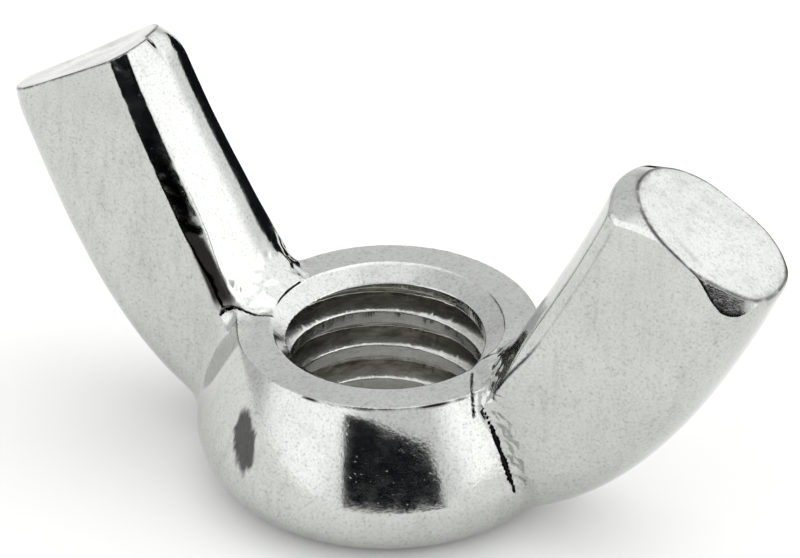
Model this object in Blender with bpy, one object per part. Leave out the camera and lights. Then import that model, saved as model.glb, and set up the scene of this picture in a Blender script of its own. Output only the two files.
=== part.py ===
"""Wing nut, 5/16-18, cold forged in one piece with two upswept wings.

Frame: metres, +Z up the thread's axis, origin at the centre of the bearing face,
wings along +X and -X, their broad faces towards +Y and -Y.
"""

from math import copysign, cos, pi, radians, sin, tan

import bmesh
import bpy
from mathutils import Vector
from mathutils.geometry import interpolate_bezier

MM = 0.001

# Thread, 5/16-18 UNC, right-handed.
MAJOR_D = 7.94 * MM
MINOR_D = 6.60 * MM
PITCH = 25.4 / 18 * MM
THREAD_START = radians(101)  # where the groove's middle crosses the bearing face
ROOT_FLAT = PITCH / 8
FLANK = radians(30)  # each flank's tilt from the plane across the axis
COUNTERSINK_D = 7.94 * MM
COUNTERSINK_SLOPE = radians(36)

# Hub: a bearing face, a round belly, and a side that domes in to the edge of the top face.
HUB_H = 5.46 * MM
BEARING_D = 9.82 * MM
BELLY_R = 1.70 * MM
BELLY_TILT = radians(17)  # of the surface's normal where the dome starts
TOP_D = 10.20 * MM
TOP_TILT = radians(40)
DOME_RISE = 1.00 * MM
DOME_FALL = 0.55 * MM

# Wings, in the XZ plane: each edge is a chain of Bezier spans, as (x, z) points.
INNER_ROOT = [(4.35, 5.25), (4.85, 5.40), (5.05, 5.85), (5.33, 6.42)]
INNER_EDGE = [(5.33, 6.42), (6.35, 8.60), (8.05, 11.10), (9.27, 14.33)]
OUTER_EDGE = [(4.60, 0.15), (9.30, 0.95), (12.22, 6.00), (14.43, 11.50)]
HALF_THICK_ROOT = 2.30 * MM
HALF_THICK_TIP = 1.92 * MM
# The section's inner side at half thickness 2, as (in from the edge line, y) points: a broad
# worn corner, a low ridge, a nearly flat face and a narrow bevel.
INNER_SIDE = [(-0.53, -2.0), (-0.10, -1.76), (0.50, -0.55), (0.07, 1.56), (-0.40, 2.0)]
OUTER_NOSE = 1.65 * MM  # how far the rounded outer edge stands out from the flat faces
NOSE_POWER = 2.3
TIP_CHAMFER = 0.60 * MM  # along the wing
TIP_OVAL = (3.15 * MM, 1.95 * MM)  # the end face's half length and half width
TIP_POWER = 2.3  # of the superellipse that trims the end face's corners
TIP_SLOPE = 0.06  # how the end face falls towards the worn side

# Facets.
HUB_SIDES = 72
BORE_SIDES = 48
THREAD_SIDES = 36
ARC_STEPS = 8
WING_STATIONS = 13
ROOT_STATIONS = 4
NOSE_STEPS = 10

CUT_MARGIN = 1.0 * MM
CUT_OVERLAP = 0.12 * MM


def clear_scene():
    for obj in list(bpy.data.objects):
        bpy.data.objects.remove(obj, do_unlink=True)


def add_object(name, bm):
    """Turns a closed bmesh into an object, with its faces pointing out."""
    bmesh.ops.recalc_face_normals(bm, faces=bm.faces)
    mesh = bpy.data.meshes.new(name)
    bm.to_mesh(mesh)
    bm.free()
    obj = bpy.data.objects.new(name, mesh)
    bpy.context.scene.collection.objects.link(obj)
    return obj


def as_helper(obj):
    """Marks a cutter or a shape that is joined into the nut: it isn't a part itself."""
    obj.hide_render = True
    obj.display_type = "WIRE"
    return obj


def loft(bm, loops):
    """Joins closed loops of equal length with quads, and caps both ends."""
    rings = [[bm.verts.new(point) for point in loop] for loop in loops]
    for low, high in zip(rings, rings[1:]):
        for i, vert in enumerate(low):
            j = (i + 1) % len(low)
            bm.faces.new((vert, low[j], high[j], high[i]))
    bm.faces.new(rings[0])
    bm.faces.new(rings[-1])


def turned(name, profile, sides):
    """A solid turned about Z from (radius, height) points that start and end on the axis."""
    bm = bmesh.new()
    loops = [
        [(r * cos(a), r * sin(a), z) for a in (2 * pi * k / sides for k in range(sides))]
        for r, z in profile[1:-1]
    ]
    loft(bm, loops)
    return add_object(name, bm)


def bezier(points, count):
    """Evenly parted points along one cubic Bezier span given in millimetres."""
    a, b, c, d = (Vector((x * MM, 0, z * MM)) for x, z in points)
    return interpolate_bezier(a, b, c, d, count)


def hub():
    """The turned body of the nut, still without its bore."""
    profile = [(0, 0)]
    for k in range(ARC_STEPS + 1):
        a = -pi / 2 + (pi / 2 + BELLY_TILT) * k / ARC_STEPS
        profile.append((BEARING_D / 2 + BELLY_R * cos(a), BELLY_R + BELLY_R * sin(a)))
    low, top = Vector(profile[-1]), Vector((TOP_D / 2, HUB_H))
    rise = Vector((-sin(BELLY_TILT), cos(BELLY_TILT))) * DOME_RISE
    fall = Vector((sin(TOP_TILT), -cos(TOP_TILT))) * DOME_FALL
    dome = interpolate_bezier(low, low + rise, top + fall, top, ARC_STEPS)
    profile += [tuple(point)[:2] for point in dome[1:]]
    return turned("wing_nut", [*profile, (0, HUB_H)], HUB_SIDES)


def wing_section(inner, outer, half_thick):
    """A loop round the wing at one station: the inner side from its worn corner to its bevel,
    then back round the full, rounded outer edge."""
    across = outer - inner
    width = across.length
    across.normalize()
    loop = [(-d * MM, y / 2 * half_thick) for d, y in INNER_SIDE]
    for k in range(NOSE_STEPS + 1):
        a = pi / 2 - pi * k / NOSE_STEPS
        out = max(cos(a), 0) ** (2 / NOSE_POWER)
        bulge = abs(sin(a)) ** (2 / NOSE_POWER)
        loop.append((width - OUTER_NOSE * (1 - out), copysign(half_thick * bulge, a)))
    return [inner + across * w + Vector((0, y, 0)) for w, y in loop]


def tip_section(loop, middle, across, axis):
    """The end face: the section with its corners drawn in to an oval, sloping a little."""
    points = []
    for point in loop:
        offset = point - middle
        reach = abs(offset.dot(across) / TIP_OVAL[0]) ** TIP_POWER
        reach += abs(offset.y / TIP_OVAL[1]) ** TIP_POWER
        offset /= max(1, reach ** (1 / TIP_POWER))
        points.append(middle + offset + axis * TIP_SLOPE * (offset.y - TIP_OVAL[1]))
    return points


def wing():
    """One wing, from inside the hub to its oval end face."""
    inner_points = bezier(INNER_ROOT, ROOT_STATIONS)[:-1] + bezier(INNER_EDGE, WING_STATIONS)
    outer_points = bezier(OUTER_EDGE, len(inner_points))
    last = len(inner_points) - 1
    loops = []
    for k, (inner, outer) in enumerate(zip(inner_points, outer_points)):
        half_thick = HALF_THICK_ROOT + (HALF_THICK_TIP - HALF_THICK_ROOT) * k / last
        loops.append(wing_section(inner, outer, half_thick))
    across = (outer_points[-1] - inner_points[-1]).normalized()
    axis = Vector((-across.z, 0, across.x))
    end_face = tip_section(loops[-1], (inner_points[-1] + outer_points[-1]) / 2, across, axis)
    loops[-1] = [
        point - axis * (TIP_CHAMFER + TIP_SLOPE * (TIP_OVAL[1] - point.y)) for point in loops[-1]
    ]
    loops.append(end_face)
    bm = bmesh.new()
    loft(bm, loops)
    return as_helper(add_object("wing_shape", bm))


def bore_cutter():
    """The tapping hole and the countersinks at both ends of it."""
    r_bore, r_sink = MINOR_D / 2, COUNTERSINK_D / 2
    depth = (r_sink - r_bore) * tan(COUNTERSINK_SLOPE)
    profile = [
        (0, -CUT_MARGIN),
        (r_sink, -CUT_MARGIN),
        (r_sink, 0),
        (r_bore, depth),
        (r_bore, HUB_H - depth),
        (r_sink, HUB_H),
        (r_sink, HUB_H + CUT_MARGIN),
        (0, HUB_H + CUT_MARGIN),
    ]
    return as_helper(turned("bore_shape", profile, BORE_SIDES))


def thread_cutter():
    """The helical groove between the crests, as one coil that runs out past both faces."""
    r_root, r_start = MAJOR_D / 2, MINOR_D / 2 - CUT_OVERLAP
    half_root = ROOT_FLAT / 2
    half_start = half_root + (r_root - r_start) * tan(FLANK)
    section = [(r_start, -half_start), (r_root, -half_root), (r_root, half_root), (r_start, half_start)]
    turns = HUB_H / PITCH + 2
    steps = round(turns * THREAD_SIDES)
    loops = []
    for k in range(steps + 1):
        turn = 2 * pi * (k / THREAD_SIDES - 1)
        angle = THREAD_START + turn
        rise = PITCH * turn / (2 * pi)
        loops.append([(r * cos(angle), r * sin(angle), z + rise) for r, z in section])
    bm = bmesh.new()
    loft(bm, loops)
    return as_helper(add_object("thread_shape", bm))


def boolean(obj, other, operation):
    modifier = obj.modifiers.new(other.name, "BOOLEAN")
    modifier.operation = operation
    modifier.object = other
    modifier.solver = "EXACT"


def bright_zinc():
    """Bright zinc plate on steel."""
    material = bpy.data.materials.new("bright_zinc")
    material.use_nodes = True
    shader = material.node_tree.nodes["Principled BSDF"]
    shader.inputs["Base Color"].default_value = (0.72, 0.73, 0.72, 1)
    shader.inputs["Metallic"].default_value = 1.0
    shader.inputs["Roughness"].default_value = 0.28
    return material


def build():
    clear_scene()
    nut = hub()
    right_wing = wing()
    left_wing = as_helper(bpy.data.objects.new("wing_shape_left", right_wing.data))
    left_wing.rotation_euler.z = pi
    bpy.context.scene.collection.objects.link(left_wing)
    boolean(nut, right_wing, "UNION")
    boolean(nut, left_wing, "UNION")
    boolean(nut, bore_cutter(), "DIFFERENCE")
    boolean(nut, thread_cutter(), "DIFFERENCE")
    nut.data.materials.append(bright_zinc())
    nut.data.shade_smooth()
    nut.data.set_sharp_from_angle(angle=radians(30))


build()
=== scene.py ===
"""Wing nut: the fine surface, its zinc plate, and a plain studio round it."""

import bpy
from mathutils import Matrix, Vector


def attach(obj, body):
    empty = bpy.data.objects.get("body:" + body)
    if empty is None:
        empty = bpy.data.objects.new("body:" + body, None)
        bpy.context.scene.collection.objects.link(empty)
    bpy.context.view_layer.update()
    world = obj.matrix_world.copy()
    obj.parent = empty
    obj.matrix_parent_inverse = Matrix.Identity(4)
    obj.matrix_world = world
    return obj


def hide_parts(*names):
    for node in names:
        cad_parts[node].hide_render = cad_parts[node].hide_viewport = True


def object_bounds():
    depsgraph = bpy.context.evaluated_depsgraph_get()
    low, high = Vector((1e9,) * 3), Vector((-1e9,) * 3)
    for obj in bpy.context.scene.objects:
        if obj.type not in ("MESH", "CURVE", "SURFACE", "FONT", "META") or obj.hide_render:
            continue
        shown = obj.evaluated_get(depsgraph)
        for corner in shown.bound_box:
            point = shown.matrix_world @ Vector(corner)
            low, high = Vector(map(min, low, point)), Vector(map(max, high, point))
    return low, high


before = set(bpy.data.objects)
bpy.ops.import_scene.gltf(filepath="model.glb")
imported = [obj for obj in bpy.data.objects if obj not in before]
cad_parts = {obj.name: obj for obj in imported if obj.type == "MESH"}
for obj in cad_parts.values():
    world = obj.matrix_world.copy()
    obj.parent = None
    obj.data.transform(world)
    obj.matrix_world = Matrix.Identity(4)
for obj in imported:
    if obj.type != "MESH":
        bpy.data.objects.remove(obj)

from concurrent.futures import ThreadPoolExecutor
from math import cos, pi, radians, sin, tan

import bmesh
import bpy
import numpy as np
from mathutils import Matrix, Vector

CAD_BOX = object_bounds()
MM = 0.001
STEP = 0.065  # the surface grid, in mm
GRID_MARGIN = 0.6  # of the grid round the CAD model's box
MAX_TRIANGLES = 190_000

# ---------------------------------------------------------------- sizes, all in mm
# Thread and countersinks.
PITCH = 25.4 / 18
MAJOR_R = 3.97
MINOR_R = 3.30
FLANK = radians(30)
THREAD_START = radians(101)  # where the groove's middle crosses the bearing face
SINK_R = 3.97
SINK_SLOPE = radians(36)

# Hub.
HUB_H = 5.46
BEARING_R = 4.88
BELLY_R = 1.70
BELLY_TILT = radians(17)  # of the surface's normal where the belly ends and the dome starts
TOP_R = 5.10
TOP_TILT = radians(40)
DOME_RISE = 1.00
DOME_FALL = 0.55

# Wings, as Bezier spans of (x, z) points.
INNER_EDGE = [(4.55, 4.50), (5.85, 7.70), (7.80, 10.40), (9.17, 14.05)]
OUTER_EDGE = [(4.60, 0.15), (9.30, 0.95), (12.22, 6.00), (14.44, 11.41)]
HALF_THICK_ROOT = 2.30
HALF_THICK_TIP = 1.90
# The inner side of the section at half thickness 2: (how far it stands in from the inner edge
# line, y). It has a broad worn corner, a low ridge, a nearly flat face and a narrow bevel.
INNER_SIDE = [(-0.53, -2.0), (-0.10, -1.76), (0.48, -0.55), (0.07, 1.56), (-0.40, 2.0)]
SIDE_ROUNDING = [0.05, 0.10, 0.50, 0.05]  # of each plane's edge with what comes before it
NOSE = 1.65  # how far the rounded outer edge stands out from the flat faces
NOSE_POWER = 2.3
TIP_OVAL = (2.79, 1.93)  # the end face's half length and half width
TIP_SHIFT = 0.10  # of the oval's middle, outwards along the end face
TIP_POWER = 2.2  # of the superellipse that trims the end face's corners
TIP_CUT = ((0.3255, -0.75, 0.576), 1.44)  # the facet at the end's outer corner: normal, distance
DISH_DEPTH = 0.10

# Folds at the feet of the wings: (x, y) points, width, and the lowest and highest point.
FOOT_FOLDS = [
    ([(-5.25, -2.25), (-4.75, -1.88), (-4.20, -1.76), (-3.70, -1.48)], 0.024, 5.35, 5.75),
    ([(3.98, -1.30), (4.40, -2.10), (4.90, -2.80)], 0.018, 4.8, 5.6),
]
FAR = 9  # a distance at which a fold has no effect


# ---------------------------------------------------------------- helpers
def bezier(points, count):
    a, b, c, d = (np.array(p, float) for p in points)
    t = np.linspace(0, 1, count)[:, None]
    return a * (1 - t) ** 3 + 3 * b * t * (1 - t) ** 2 + 3 * c * t**2 * (1 - t) + d * t**3


class Table:
    """Values on a regular 2-D grid, read back by bilinear interpolation."""

    def __init__(self, low, high, step, function):
        self.low, self.step = np.array(low, float), step
        count = np.ceil((np.array(high) - low) / step).astype(int) + 2
        u = low[0] + step * np.arange(count[0])
        v = low[1] + step * np.arange(count[1])
        grid_u, grid_v = np.meshgrid(u, v, indexing="ij")
        self.values = function(grid_u.ravel(), grid_v.ravel()).reshape(count)

    def __call__(self, u, v):
        n, m = self.values.shape
        u = np.clip((u - self.low[0]) / self.step, 0, n - 1.001)
        v = np.clip((v - self.low[1]) / self.step, 0, m - 1.001)
        i, j = u.astype(int), v.astype(int)
        u, v = u - i, v - j
        t = self.values
        near = t[i, j] * (1 - u) + t[i + 1, j] * u
        far = t[i, j + 1] * (1 - u) + t[i + 1, j + 1] * u
        return near * (1 - v) + far * v


def chain_distance(u, v, points, closed=False):
    """Signed distance to a chain of points: positive on the right of its direction."""
    best = np.full(u.shape, 1e9)
    sign = np.ones(u.shape)
    pts = np.vstack([points, points[:1]]) if closed else points
    for (a0, a1), (b0, b1) in zip(pts[:-1], pts[1:]):
        e0, e1 = b0 - a0, b1 - a1
        size = e0 * e0 + e1 * e1
        if size < 1e-12:
            continue
        t = np.clip(((u - a0) * e0 + (v - a1) * e1) / size, 0, 1)
        d0, d1 = u - a0 - t * e0, v - a1 - t * e1
        dist = np.hypot(d0, d1)
        side = e0 * (v - a1) - e1 * (u - a0)
        near = dist < best - 1e-9
        best = np.where(near, dist, best)
        sign = np.where(near, np.where(side > 0, -1.0, 1.0), sign)
    return best, sign


def inside(u, v, pts):
    """Whether each point is inside a closed polygon."""
    odd = np.zeros(u.shape, bool)
    for (a0, a1), (b0, b1) in zip(pts, np.roll(pts, -1, axis=0)):
        if a1 == b1:
            continue
        cross = (a1 > v) != (b1 > v)
        odd ^= cross & (u < (b0 - a0) * (v - a1) / (b1 - a1) + a0)
    return odd


def polygon_distance(pts):
    def function(u, v):
        dist, _ = chain_distance(u, v, pts, closed=True)
        return np.where(inside(u, v, pts), -dist, dist)

    return function


def smooth_max(a, b, k):
    """Cuts a solid by another, with the edge between them rounded over about k."""
    h = np.maximum(k - np.abs(a - b), 0) / k
    return np.maximum(a, b) + h * h * k / 4


def soft_min(a, b, k):
    """Joins two solids with a fillet that fades out smoothly at both ends."""
    h = np.maximum(k - np.abs(a - b), 0) / k
    return np.minimum(a, b) - h**3 * k / 6


def ramp(x, low, high):
    """Rises smoothly from 0 at low to 1 at high."""
    t = np.clip((x - low) / (high - low), 0, 1)
    return t * t * (3 - 2 * t)


LATTICE = 32  # noise repeats after this many features
NOISE = np.random.default_rng(7).uniform(-1, 1, LATTICE**3)


def noise(x, y, z, size, where=None):
    """Smooth noise between -1 and 1, with features about as large as size; nought elsewhere."""
    if where is not None:
        out = np.zeros(x.shape)
        out[where] = noise(x[where], y[where], z[where], size)
        return out
    low, high, part = [], [], []
    for c, scale in zip((x, y, z), (LATTICE**2, LATTICE, 1)):
        c = c / size + 100.3
        cell = np.floor(c).astype(np.int32)
        c = c - cell
        part.append(c * c * (3 - 2 * c))
        low.append((cell & (LATTICE - 1)) * scale)
        high.append(((cell + 1) & (LATTICE - 1)) * scale)
    u, v, w = part

    def row(a, b):
        start = NOISE[a + b + low[2]]
        return start + w * (NOISE[a + b + high[2]] - start)

    near, far = [], []
    for a, out in ((low[0], near), (high[0], far)):
        start = row(a, low[1])
        out.append(start + v * (row(a, high[1]) - start))
    return near[0] + u * (far[0] - near[0])


# ---------------------------------------------------------------- the shape
def hub_outline():
    turns = np.linspace(-pi / 2, BELLY_TILT, 24)
    belly = np.stack([BEARING_R + BELLY_R * np.cos(turns), BELLY_R + BELLY_R * np.sin(turns)], 1)
    low, top = belly[-1], np.array([TOP_R, HUB_H])
    rise = np.array([-sin(BELLY_TILT), cos(BELLY_TILT)]) * DOME_RISE
    fall = np.array([sin(TOP_TILT), -cos(TOP_TILT)]) * DOME_FALL
    dome = bezier([low, low + rise, top + fall, top], 24)
    return np.vstack([[(-3, 0)], belly, dome[1:], [(-3, HUB_H)]])


def bore_outline():
    """Half of the space inside the nut, without the thread's grooves."""
    depth = (SINK_R - MINOR_R) * tan(SINK_SLOPE)
    return np.array([
        (-3, -3), (SINK_R, -3), (SINK_R, 0), (MINOR_R, depth), (MINOR_R, HUB_H - depth),
        (SINK_R, HUB_H), (SINK_R, HUB_H + 6), (-3, HUB_H + 6),
    ])


def groove_outline():
    """The thread's groove, one above another, so that the field repeats with the pitch."""
    out = [(-3, -2.5 * PITCH)]
    half_root = PITCH / 16
    half_mouth = half_root + (MAJOR_R - MINOR_R) * tan(FLANK)
    for turn in (-2, -1, 0, 1, 2):
        z = turn * PITCH
        out += [(MINOR_R, z - half_mouth), (MAJOR_R, z - half_root)]
        out += [(MAJOR_R, z + half_root), (MINOR_R, z + half_mouth)]
    out.append((-3, 2.5 * PITCH))
    return np.array(out)


def extended(points, before, after):
    """A chain of points made longer at both ends, straight on."""
    start = points[0] + (points[0] - points[1]) / np.linalg.norm(points[0] - points[1]) * before
    end = points[-1] + (points[-1] - points[-2]) / np.linalg.norm(points[-1] - points[-2]) * after
    return np.vstack([[start], points, [end]])


def edge_table(edge, flip):
    """Distances in the XZ plane from one edge of the wing."""
    points = extended(bezier(edge, 40), 6, 4)

    def function(u, v):
        dist, sign = chain_distance(u, v, points)
        return dist * sign * flip

    return Table((-1, -3), (18, 17), 0.05, function)


# The hub and the bore by radius and height, the groove by radius and height from its middle.
HUB = Table((0, -2), (18, 17), 0.06, polygon_distance(hub_outline()))
BORE = Table((0, -2), (8, 12), 0.04, polygon_distance(bore_outline()))
GROOVE = Table((2, -PITCH), (5, PITCH), 0.02, polygon_distance(groove_outline()))
INNER = edge_table(INNER_EDGE, -1)  # positive towards the axis, off the wing
OUTER = edge_table(OUTER_EDGE, 1)  # positive outside the wing

TIP_IN, TIP_OUT = np.array(INNER_EDGE[-1]), np.array(OUTER_EDGE[-1])
TIP_MID = (TIP_IN + TIP_OUT) / 2
TIP_ALONG = (TIP_OUT - TIP_IN) / np.linalg.norm(TIP_OUT - TIP_IN)
TIP_NORMAL = np.array([-TIP_ALONG[1], TIP_ALONG[0]])


def side_planes():
    """The planes between the points of INNER_SIDE, each as (point, outward normal)."""
    points = np.array(INNER_SIDE)
    for a, b in zip(points[:-1], points[1:]):
        run = (b - a) / np.linalg.norm(b - a)
        yield a, np.array([run[1], -run[0]])


SIDE_PLANES = list(side_planes())
WORN_PLANE, BEVEL_PLANE = 0, 3


def half_thickness(z):
    """Half of the wing's thickness, which falls from its root to its tip."""
    return HALF_THICK_ROOT + (HALF_THICK_TIP - HALF_THICK_ROOT) * ramp(z, 2.0, 12.5)


def tip_field(f, x, y, z, left):
    """Cuts a wing's end face: an oval, dished and dented, which slopes towards the worn side.
    Gives the cut wing, the distance from the face's rim, and the distance from the face."""
    along = (x - TIP_MID[0]) * TIP_ALONG[0] + (z - TIP_MID[1]) * TIP_ALONG[1]
    above = (x - TIP_MID[0]) * TIP_NORMAL[0] + (z - TIP_MID[1]) * TIP_NORMAL[1]
    (cut_along, cut_y, cut_above), cut_at = TIP_CUT
    f = smooth_max(f, cut_along * along + cut_y * y + cut_above * above - cut_at, 0.05)
    worn_side = (np.sqrt(y * y + 0.36) - y) / 2
    above = above + 0.05 + 0.045 * along + (0.10 + 0.04 * along) * worn_side
    reach = (np.abs(along - TIP_SHIFT) / TIP_OVAL[0]) ** TIP_POWER
    reach = reach + (np.abs(y) / TIP_OVAL[1]) ** TIP_POWER
    reach = reach ** (1 / TIP_POWER) / np.where(left, 1.07, 1.0)
    # The left wing's front inner corner is left whole.
    full = left * ramp(-along, 0.2, 1.2) * ramp(y, 0.0, 0.8)
    spread = np.where(left, 0.25, 0.38) * np.maximum(-above, 0)
    cone = (reach * (1 - 0.3 * full) - 1 - spread) * TIP_OVAL[1] * 0.8
    near_tip = np.abs(above) < 0.6
    dents = noise(x, y, z, 0.9, near_tip) + 0.25 * noise(x, y, z, 0.4, near_tip)
    face = above + (DISH_DEPTH + 0.035 * dents) * (1 - ramp(reach, 0.50, 0.86))
    f = smooth_max(f, cone, np.where(left, 0.30, 0.12))
    return smooth_max(f, face, 0.05), np.hypot(f, above), face


def wing_field(x, y, z, d_in, left):
    """One wing towards +x, for points already turned so that it is."""
    half = half_thickness(z)
    nose = np.maximum(NOSE + OUTER(x, z), 0) / NOSE
    f = ((nose**NOSE_POWER + (np.abs(y) / half) ** NOSE_POWER) ** (1 / NOSE_POWER) - 1) * half
    scaled = y * 2.0 / half
    wobble = 0.008 * noise(x, y, z, 0.3, (y > 1.2) & (np.abs(d_in) < 1))
    for k, (point, normal) in enumerate(SIDE_PLANES):
        plane = normal[0] * (d_in - point[0]) + normal[1] * (scaled - point[1])
        # The worn corner and the bevel both fade out towards the hub.
        if k == WORN_PLANE:
            plane = plane - 0.16 * (1 - ramp(z, 5.6, 8.0))
        if k == BEVEL_PLANE:
            plane = plane - 0.12 * (1 - ramp(z, 5.8, 8.0)) + 0.05 * ramp(z, 7, 9) + wobble
        f = smooth_max(f, plane, SIDE_ROUNDING[k])
    return tip_field(f, x, y, z, left)


def seams(x, y, z, hub, wing, d_in, wy, side):
    """The laps and folds that the forging left, each as (distance, width of the fold)."""
    front, right = y < 0, side > 0
    seam = np.hypot(hub, wing)
    near = seam < 0.6
    worn = 1 + 0.5 * noise(x, y, z, 0.5, near) + 0.3 * noise(x, y, z, 0.22, near)

    # The cracked seam at the right wing's front root, and the left wing's back root.
    crack = 0.054 * (0.6 + 0.4 * worn) * ramp(z, 1.3, 2.6) * (1 - ramp(z, 5.0, 5.6))
    yield seam + FAR * ~(front & right), crack
    back_crack = 0.08 * worn * ramp(z, 2.5, 3.5) * (1 - ramp(z, 5.0, 5.6))
    yield seam + FAR * ~(~front & ~right), back_crack

    # A line down the edge of the right wing's worn corner.
    corner = INNER_SIDE[0][0] + 0.33 * (1 - ramp(z, 5.6, 8.0))
    edge = np.hypot(d_in - corner, wy + half_thickness(z))
    width = 0.012 + 0.035 * (1 - ramp(z, 6.5, 8.5))
    yield edge + FAR * ~right, width * ramp(z, 5.3, 5.8) * (1 - ramp(z, 12.6, 13.3))

    # A lap along the front of the top face's rim.
    azimuth = np.degrees(np.arctan2(y, x))
    rim = np.hypot(np.hypot(x, y) - TOP_R - 0.03, z - HUB_H + 0.05)
    thick = np.abs(noise(x, y, z, 0.8, rim < 0.3))
    yield rim, (0.01 + 0.05 * thick) * ramp(azimuth, -96, -88) * (1 - ramp(azimuth, -34, -26))

    for path, width, low, high in FOOT_FOLDS:
        near = (np.abs(x) < 5.6) & front & (z > 4.4) & (z < 6.2) & (right == (path[0][0] > 0))
        distance = np.full(x.shape, float(FAR))
        distance[near] = chain_distance(x[near], y[near], np.array(path))[0]
        away = np.maximum(np.maximum(low - z, z - high), 0)
        yield np.hypot(distance, away), width * (0.8 + 0.4 * worn * near)


def painted_reflections_and_shade(x, y, z, d_in, wy, side, rim, end):
    """How dark the colour is painted, from 0 to 1: painted dark reflections on the left wing's
    bevel and the hub, and painted shade along the end faces' rims and in spots on them.
    """
    blotch = noise(x, y, z, 0.25) + 0.5 * noise(x, y, z, 0.12)

    # A painted dark reflection on the lower part of the left wing's bevel.
    bevel = ramp(wy * 2 / half_thickness(z), 1.56, 1.66) * ramp(d_in, -0.46, -0.36)
    bevel = bevel * ramp(z, 5.4, 6.0) * (1 - ramp(z, 9.5, 12.5))
    painted_dark = 0.97 * bevel * (side < 0) * ramp(blotch, -2.0, -1.0)

    # Painted shade along the end faces' rims, and painted shade in spots on the faces.
    edge = 0.9 * (1 - ramp(rim, 0.02, 0.08)) * ramp(blotch, -1.6, 0.0)
    dents = noise(x * 0.6, y * 1.4, z, 0.45) + 0.7 * noise(x * 0.6, y, z, 0.18)
    spots = 0.24 * ramp(dents, 0.1, 1.7) * (1 - ramp(np.abs(end), 0.04, 0.08))
    painted_dark = np.maximum(painted_dark, np.maximum(edge, spots) * (z > 9))

    # A painted dark reflection on the front of the hub, left of its middle.
    turned = np.degrees(np.arctan2(y, x)) + 112 + 2.5 * (z - 3.3)
    dark_reflection = 1 - (turned / 5.5) ** 2 - ((z - 3.3) / 1.05) ** 2 + 0.35 * blotch
    return np.maximum(painted_dark, 0.85 * ramp(dark_reflection, -0.1, 0.3) * (np.hypot(x, y) > 5))


def lumps(x, y, z, wx):
    """The uneven metal at the wings' feet, between them."""
    foot = np.exp(-((np.hypot(z - 5.7, wx - 4.6) / 0.9) ** 2)) * (1 - ramp(np.abs(y), 1.8, 2.4))
    near = foot > 0.02
    return 0.06 * foot * (noise(x, y, z, 0.55, near) + 0.5 * noise(x, y, z, 0.25, near))


def tear(f, x, y, z, hub, wing):
    """Roughens the metal beside the crack at the right wing's front root."""
    torn = (x > 4.0) & (y < -1.5) & (z > 1.5) & (z < 5.6) & (np.abs(f) < 0.5)
    x, y, z = x[torn], y[torn], z[torn]
    depth = 0.028 * np.exp(-(((wing - hub + 0.35)[torn] / 0.40) ** 2)) * ramp(z, 1.5, 2.5)
    f[torn] += depth * (1 + noise(x, y, z, 0.22) + 0.5 * noise(x, y, z, 0.12))
    return f


def field(p, with_painted_shade=False):
    """Signed distance to the nut's surface, near enough, in mm; negative inside. If asked, it also
    gives how dark the colour is painted at each point, as painted shade and dark reflections."""
    x, y, z = p[:, 0], p[:, 1], p[:, 2]
    r = np.hypot(x, y)
    side = np.where(x >= 0, 1.0, -1.0)
    wx, wy = x * side, y * side
    hub = HUB(r, z)
    d_in = INNER(wx, z)
    wing, rim, end = wing_field(wx, wy, z, d_in, side < 0)

    # The fillet is widest between the wings, and wide at the left wing's front root.
    inner = ramp(z, 4.2, 5.6) * (1 - ramp(np.abs(y) + 0.7 * d_in, 1.3, 2.8))
    front_left = ramp(-x, 0, 1.5) * ramp(-y, 1.0, 2.5)
    f = soft_min(hub, wing, 0.35 + 1.0 * front_left * (1 - inner) + 1.6 * inner)
    f = f + lumps(x, y, z, wx)
    f = f + 0.006 * (1 + noise(x, y, z, 1.1))
    f = tear(f, x, y, z, hub, wing)

    painted_dark = 0
    for distance, size in seams(x, y, z, hub, wing, d_in, wy, side):
        f = smooth_max(f, np.where(size > 0, size - distance, -FAR), 0.03)
        # Painted shade along each fold, lap and crack: the colour is darkened close to them.
        painted_dark = np.maximum(painted_dark, np.clip(1 - (distance - size) / 0.04, 0, 1) * ramp(size, 0, 0.03))

    f = smooth_max(f, -BORE(r, z), 0.05)
    turn = (np.arctan2(y, x) - THREAD_START) / (2 * pi) * PITCH
    phase = (z - turn + PITCH / 2) % PITCH - PITCH / 2
    f = smooth_max(f, -GROOVE(r, phase), 0.04)
    f = np.maximum(f, -z)
    if with_painted_shade:
        return f, np.maximum(painted_dark, painted_reflections_and_shade(x, y, z, d_in, wy, side, rim, end))
    return f


# ---------------------------------------------------------------- meshing
def sample(p, chunk=60_000):
    """The field at each point, worked out on several threads."""
    chunks = [p[i : i + chunk] for i in range(0, len(p), chunk)]
    with ThreadPoolExecutor(8) as pool:
        return np.concatenate(list(pool.map(field, chunks)))


def slope(p, reach=0.012):
    """The field's gradient at each point."""
    out = np.empty_like(p)
    for axis in range(3):
        step = np.zeros(3)
        step[axis] = reach
        out[:, axis] = (sample(p + step) - sample(p - step)) / (2 * reach)
    return out


def grid_values(low, blocks, step, block=4):
    """The field on a grid: exact near the surface, and one value to a block elsewhere."""
    centre = [low[a] + step * (block * (np.arange(blocks[a]) + 0.5) - 0.5) for a in range(3)]
    coarse = sample(np.stack(np.meshgrid(*centre, indexing="ij"), -1).reshape(-1, 3))
    coarse = coarse.reshape(blocks)
    values = np.repeat(np.repeat(np.repeat(coarse, block, 0), block, 1), block, 2)
    active = np.argwhere(np.abs(coarse) < block * step * 1.25)
    local = np.stack(np.meshgrid(*[np.arange(block)] * 3, indexing="ij"), -1).reshape(-1, 3)
    index = (active[:, None, :] * block + local[None]).reshape(-1, 3)
    values[index[:, 0], index[:, 1], index[:, 2]] = sample(low + index * step)
    return values


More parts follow.
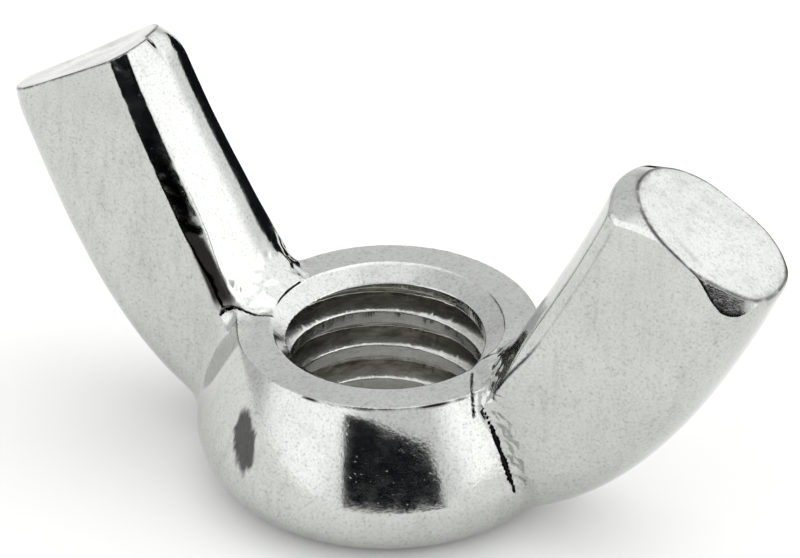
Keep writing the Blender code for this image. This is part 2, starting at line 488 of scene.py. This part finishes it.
def cell_points(values, cells):
    """In each cell that the surface crosses, the mean of where it crosses the cell's edges."""
    corners = np.array([(i, j, k) for i in (0, 1) for j in (0, 1) for k in (0, 1)])
    at = cells[:, None, :] + corners[None]
    level = values[at[..., 0], at[..., 1], at[..., 2]]
    total, hits = np.zeros((len(cells), 3)), np.zeros(len(cells))
    for a in range(8):
        for b in range(a + 1, 8):
            if np.abs(corners[a] - corners[b]).sum() != 1:
                continue
            cross = (level[:, a] < 0) != (level[:, b] < 0)
            t = np.where(cross, level[:, a] / np.where(cross, level[:, a] - level[:, b], 1), 0)
            run = corners[a] + t[:, None] * (corners[b] - corners[a])
            total += np.where(cross[:, None], run, 0)
            hits += cross
    return cells + total / hits[:, None]


def surface_net(low, high, step, block=4):
    """A quad mesh of the zero surface of the field, by naive surface nets."""
    low = np.array(low, float)
    blocks = np.ceil((np.array(high) - low) / step / block).astype(int)
    dims = blocks * block
    values = grid_values(low, blocks, step, block)
    solid = values < 0
    count = np.zeros(dims - 1, np.int8)
    for i in (0, 1):
        for j in (0, 1):
            for k in (0, 1):
                count += solid[i : dims[0] - 1 + i, j : dims[1] - 1 + j, k : dims[2] - 1 + k]
    cells = np.argwhere((count > 0) & (count < 8))
    number = np.full(dims - 1, -1, np.int32)
    number[cells[:, 0], cells[:, 1], cells[:, 2]] = np.arange(len(cells))
    quads = []
    for axis in range(3):
        one, two = (axis + 1) % 3, (axis + 2) % 3
        near = [slice(None)] * 3
        far = [slice(None)] * 3
        near[axis], far[axis] = slice(0, -1), slice(1, None)
        a, b = solid[tuple(near)], solid[tuple(far)]
        for outward, edges in ((True, np.argwhere(a & ~b)), (False, np.argwhere(~a & b))):
            ring = []
            for u, v in ((-1, -1), (0, -1), (0, 0), (-1, 0)):
                at = edges.copy()
                at[:, one] += u
                at[:, two] += v
                ring.append(number[at[:, 0], at[:, 1], at[:, 2]])
            quad = np.stack(ring, 1)
            quads.append(quad if outward else quad[:, ::-1])
    return low + step * cell_points(values, cells), np.vstack(quads)


def settle(points, rounds, limit):
    """Moves points onto the zero surface along the field's slope."""
    for _ in range(rounds):
        g = slope(points)
        size = np.maximum((g * g).sum(1), 0.05)
        move = -(sample(points) / size)[:, None] * g
        far = np.linalg.norm(move, axis=1, keepdims=True)
        points = points + move * np.minimum(1, limit / np.maximum(far, 1e-9))
    return points


def drop_crumbs(mesh):
    """Deletes the loose specks that the folds leave beside the one big surface."""
    bm = bmesh.new()
    bm.from_mesh(mesh)
    islands = []
    for start in bm.verts:
        if start.tag:
            continue
        start.tag = True
        island = [start]
        for vert in island:
            for edge in vert.link_edges:
                other = edge.other_vert(vert)
                if not other.tag:
                    other.tag = True
                    island.append(other)
        islands.append(island)
    islands.sort(key=len)
    for island in islands[:-1]:
        bmesh.ops.delete(bm, geom=island, context="VERTS")
    bm.to_mesh(mesh)
    bm.free()


def points_of(mesh):
    """The mesh's points, in mm."""
    points = np.empty(len(mesh.vertices) * 3)
    mesh.vertices.foreach_get("co", points)
    return points.reshape(-1, 3) / MM


def thinned(nut, ratio):
    """Gives the object a mesh with fewer triangles, and returns that mesh."""
    nut.modifiers.new("thin", "DECIMATE").ratio = ratio
    bpy.context.view_layer.update()
    evaluated = nut.evaluated_get(bpy.context.evaluated_depsgraph_get())
    mesh = bpy.data.meshes.new_from_object(evaluated)
    nut.modifiers.clear()
    old, nut.data = nut.data, mesh
    bpy.data.meshes.remove(old)
    mesh.name = nut.name
    return mesh


def add_values(mesh, name, values):
    """Stores one number for each point, for the material to read."""
    mesh.attributes.new(name, "FLOAT", "POINT").data.foreach_set("value", values)


def make_nut(material):
    low = [c / MM - GRID_MARGIN for c in CAD_BOX[0]]
    high = [c / MM + GRID_MARGIN for c in CAD_BOX[1]]
    points, quads = surface_net(low, high, STEP)
    points = settle(points, 2, STEP / 2)
    mesh = bpy.data.meshes.new("wing_nut_surface")
    mesh.from_pydata((points * MM).tolist(), [], quads.tolist())
    drop_crumbs(mesh)
    points = points_of(mesh)
    nut = bpy.data.objects.new("wing_nut_surface", mesh)
    bpy.context.scene.collection.objects.link(nut)
    if 2 * len(quads) > MAX_TRIANGLES:
        mesh = thinned(nut, MAX_TRIANGLES / (2 * len(quads)))
        points = settle(points_of(mesh), 2, STEP / 3)
        mesh.vertices.foreach_set("co", (points * MM).ravel())
    normals = slope(points, 0.02)
    normals /= np.maximum(np.linalg.norm(normals, axis=1, keepdims=True), 1e-9)
    mesh.shade_smooth()
    mesh.normals_split_custom_set_from_vertices(normals.tolist())
    # The painted shade and painted dark reflections, stored for the material.
    add_values(mesh, "painted_shade_and_reflections", field(points, with_painted_shade=True)[1])
    # A mask of the thread, strongest at the groove roots, where the material paints the colour
    # darker as painted shade, with turning marks.
    r = np.hypot(points[:, 0], points[:, 1])
    in_bore = (1 - ramp(r, 3.98, 4.05)) * ramp(HUB_H - points[:, 2], 0.45, 0.60)
    add_values(mesh, "threads", in_bore * (0.25 + 0.75 * ramp(r, 3.32, 3.85)))
    mesh.materials.append(material)
    return nut


# ---------------------------------------------------------------- materials
def zinc():
    """Bright zinc plate over forged steel: a near-mirror skin, broken up by specks, pits,
    streaks along the wings and turning marks in the thread, with painted shade in the thread's
    grooves, folds, cracks and end faces, and painted dark reflections on the hub and a wing's
    bevel."""
    material = bpy.data.materials.new("bright_zinc")
    material.use_nodes = True
    nodes, links = material.node_tree.nodes, material.node_tree.links
    shader = nodes["Principled BSDF"]
    shader.inputs["Metallic"].default_value = 1.0

    def node(kind, **inputs):
        new = nodes.new(kind)
        for name, value in inputs.items():
            new.inputs[name.replace("_", " ")].default_value = value
        return new

    def ramp_of(source, stops):
        new = nodes.new("ShaderNodeValToRGB")
        elements = new.color_ramp.elements
        while len(elements) < len(stops):
            elements.new(0.5)
        for element, (at, value) in zip(elements, stops):
            element.position = at
            element.color = (*value, 1) if isinstance(value, tuple) else (value, value, value, 1)
        links.new(source, new.inputs["Fac"])
        return new.outputs["Color"]

    place = nodes.new("ShaderNodeTexCoord").outputs["Object"]

    def noise_of(size, detail=2.0, roughness=0.5, vector=place):
        new = node("ShaderNodeTexNoise", Scale=1 / (size * MM), Detail=detail, Roughness=roughness)
        links.new(vector, new.inputs["Vector"])
        return new.outputs["Fac"]

    def stretched_noise(scale, size, detail):
        squash = node("ShaderNodeMapping", Scale=scale)
        links.new(place, squash.inputs["Vector"])
        return noise_of(size, detail, 0.6, squash.outputs["Vector"])

    def blend(kind, factor, a, b):
        new = nodes.new("ShaderNodeMix")
        new.data_type = "RGBA"
        new.blend_type = kind
        for socket, value in (("Factor", factor), ("A", a), ("B", b)):
            if isinstance(value, bpy.types.NodeSocket):
                links.new(value, new.inputs[socket])
            else:
                new.inputs[socket].default_value = value
        return new.outputs["Result"]

    def attribute(name):
        new = nodes.new("ShaderNodeAttribute")
        new.attribute_name = name
        return new.outputs["Fac"]

    clouds = noise_of(2.2, 3)
    colour = ramp_of(clouds, [(0.3, (0.56, 0.57, 0.55)), (0.7, (0.62, 0.63, 0.61))])
    specks = ramp_of(noise_of(0.10, 4, 0.7), [(0.30, 0.58), (0.44, 0.91), (0.62, 1.0)])
    colour = blend("MULTIPLY", 1.0, colour, specks)
    streaks = stretched_noise((1, 1, 0.22), 0.32, 3)
    streaks = ramp_of(streaks, [(0.30, 0.88), (0.46, 0.98), (0.62, 1.0)])
    colour = blend("MULTIPLY", 1.0, colour, streaks)
    turning_marks_and_shade = stretched_noise((0.15, 0.15, 1), 0.10, 3)
    turning_marks_and_shade = ramp_of(turning_marks_and_shade, [(0.30, (0.25, 0.24, 0.20)), (0.60, (0.56, 0.55, 0.51))])
    # Painted shade in the thread, darkest at the groove roots, with ring-shaped turning marks.
    colour = blend("MIX", attribute("threads"), colour, turning_marks_and_shade)
    # Near black painted shade in the folds, cracks and end faces, and painted dark reflections on
    # the hub and a wing's bevel.
    colour = blend("MIX", attribute("painted_shade_and_reflections"), colour, (0.012, 0.010, 0.009, 1))
    links.new(colour, shader.inputs["Base Color"])
    roughness = ramp_of(noise_of(0.6, 4, 0.6), [(0.3, 0.07), (0.7, 0.14)])
    roughness = blend("MIX", attribute("threads"), roughness, (0.22, 0.22, 0.22, 1))
    links.new(roughness, shader.inputs["Roughness"])

    pits = ramp_of(noise_of(0.12, 2, 0.5), [(0.22, 0.0), (0.30, 1.0)])
    bump = node("ShaderNodeBump", Strength=0.12, Distance=0.02 * MM)
    links.new(pits, bump.inputs["Height"])
    grain = node("ShaderNodeBump", Strength=0.25, Distance=0.01 * MM)
    links.new(noise_of(0.14, 3, 0.6), grain.inputs["Height"])
    links.new(bump.outputs["Normal"], grain.inputs["Normal"])
    links.new(grain.outputs["Normal"], shader.inputs["Normal"])
    return material


def plain(name, colour, roughness):
    """A matt material of one colour."""
    material = bpy.data.materials.new(name)
    material.use_nodes = True
    shader = material.node_tree.nodes["Principled BSDF"]
    shader.inputs["Base Color"].default_value = (*colour, 1)
    shader.inputs["Roughness"].default_value = roughness
    shader.inputs["Specular IOR Level"].default_value = 0
    return material


# ---------------------------------------------------------------- the nut
nut = make_nut(zinc())
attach(nut, "root")
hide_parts("wing_nut")


# ---------------------------------------------------------------- the studio
def flat(name, corners, material):
    """A flat sheet in the studio, which isn't part of the nut."""
    mesh = bpy.data.meshes.new(name)
    mesh.from_pydata([tuple(c) for c in corners], [], [tuple(range(len(corners)))])
    mesh.materials.append(material)
    obj = bpy.data.objects.new(name, mesh)
    bpy.context.scene.collection.objects.link(obj)
    return obj


def bearing(azimuth, height):
    """The unit vector at an azimuth from +X and a height above the horizon, in degrees."""
    a, e = radians(azimuth), radians(height)
    return Vector((cos(a) * cos(e), sin(a) * cos(e), sin(e)))


def only_reflected(corners, name):
    """A dark sheet that only reflections see."""
    sheet = flat(name, corners, plain(name, (0.004, 0.005, 0.007), 1.0))
    sheet.visible_camera = False
    sheet.visible_diffuse = False
    sheet.visible_shadow = False


def black_card(name, azimuth, outline, distance=0.45):
    """A standing dark sheet. Its outline is in degrees: azimuth from the card's own, and
    height above the horizon."""
    only_reflected([bearing(azimuth + a, e) * distance for a, e in outline], name)


def black_strip(name, outline):
    """A dark sheet that lies on the floor, its outline in mm."""
    only_reflected([Vector((x, y, 0.1)) * MM for x, y in outline], name)


FLOOR_HALF = 3  # of its side, in metres
FLOOR_Z = -0.02 * MM  # just clear of the bearing face
floor_corners = [(-1, -1), (1, -1), (1, 1), (-1, 1)]
flat(
    "floor",
    [(x * FLOOR_HALF, y * FLOOR_HALF, FLOOR_Z) for x, y in floor_corners],
    plain("floor", (0.87, 0.87, 0.855), 0.9),
)
camera_card = [(-25, -0.2), (29, -0.2), (30, 5), (25, 11), (8, 16), (-5, 20), (-31, 25)]
black_card("camera_card", -60, camera_card)
black_strip("front_strip", [(52, -30), (34, -49), (252, -360), (381, -220)])
black_card("back_card", 88, [(-16, -1), (16, -1), (16, 8), (-16, 8)])
black_strip("back_strip", [(-15, 22), (25, 22), (120, 430), (-90, 430)])


def studio(base, lamps):
    """A pale room with soft round lights: each is (azimuth, height, radius, softness, strength),
    in degrees, azimuth counting from +X."""
    world = bpy.data.worlds.new("studio")
    bpy.context.scene.world = world
    world.use_nodes = True
    nodes, links = world.node_tree.nodes, world.node_tree.links
    direction = nodes.new("ShaderNodeTexCoord").outputs["Generated"]
    total = None
    for azimuth, height, radius, soft, strength in lamps:
        dot = nodes.new("ShaderNodeVectorMath")
        dot.operation = "DOT_PRODUCT"
        dot.inputs[1].default_value = bearing(azimuth, height)
        links.new(direction, dot.inputs[0])
        glow = nodes.new("ShaderNodeMapRange")
        glow.interpolation_type = "SMOOTHSTEP"
        glow.inputs["From Min"].default_value = cos(radians(radius + soft))
        glow.inputs["From Max"].default_value = cos(radians(max(radius - soft, 0)))
        glow.inputs["To Min"].default_value = 0
        glow.inputs["To Max"].default_value = strength
        links.new(dot.outputs["Value"], glow.inputs["Value"])
        add = nodes.new("ShaderNodeMath")
        add.operation = "ADD"
        add.inputs[1].default_value = base
        links.new(glow.outputs["Result"], add.inputs[0])
        if total:
            links.new(total, add.inputs[1])
        total = add.outputs["Value"]
    background = nodes["Background"]
    background.inputs["Color"].default_value = (1, 1, 1, 1)
    links.new(total, background.inputs["Strength"])


bpy.context.scene.view_settings.view_transform = "Standard"
studio(0.90, [
    (55, 42, 36, 12, 0.65),
    (-118, 22, 30, 12, 0.70),
    (8, 18, 28, 12, 0.85),
    (120, 82, 22, 10, 0.60),
    (178, 12, 30, 14, -0.15),
])

# ---------------------------------------------------------------- the camera
# Its azimuth counts from -Y, towards +X. It is aimed a little off the target.
CAM_AZ, CAM_EL, CAM_ROLL = radians(30.457), radians(34.108), radians(-0.713)
TARGET = Vector((0, 0, 2.145)) * MM
DISTANCE = 123.1 * MM
AIM_RIGHT, AIM_UP = 0.00318, 0.03507

camera = bpy.data.objects.new("camera", bpy.data.cameras.new("camera"))
bpy.context.scene.collection.objects.link(camera)
bpy.context.scene.camera = camera
camera.data.lens = 161.2
camera.data.sensor_width = 36
camera.data.clip_start = 0.001
back = Vector((sin(CAM_AZ) * cos(CAM_EL), -cos(CAM_AZ) * cos(CAM_EL), sin(CAM_EL)))
level_right = Vector((cos(CAM_AZ), sin(CAM_AZ), 0))
level_up = back.cross(level_right)
right = level_right * cos(CAM_ROLL) + level_up * sin(CAM_ROLL)
up = level_up * cos(CAM_ROLL) - level_right * sin(CAM_ROLL)
axis_z = (back - right * AIM_RIGHT - up * AIM_UP).normalized()
axis_x = (right - axis_z * right.dot(axis_z)).normalized()
turn = Matrix((axis_x, axis_z.cross(axis_x), axis_z)).transposed().to_4x4()
camera.matrix_world = Matrix.Translation(TARGET + back * DISTANCE) @ turn
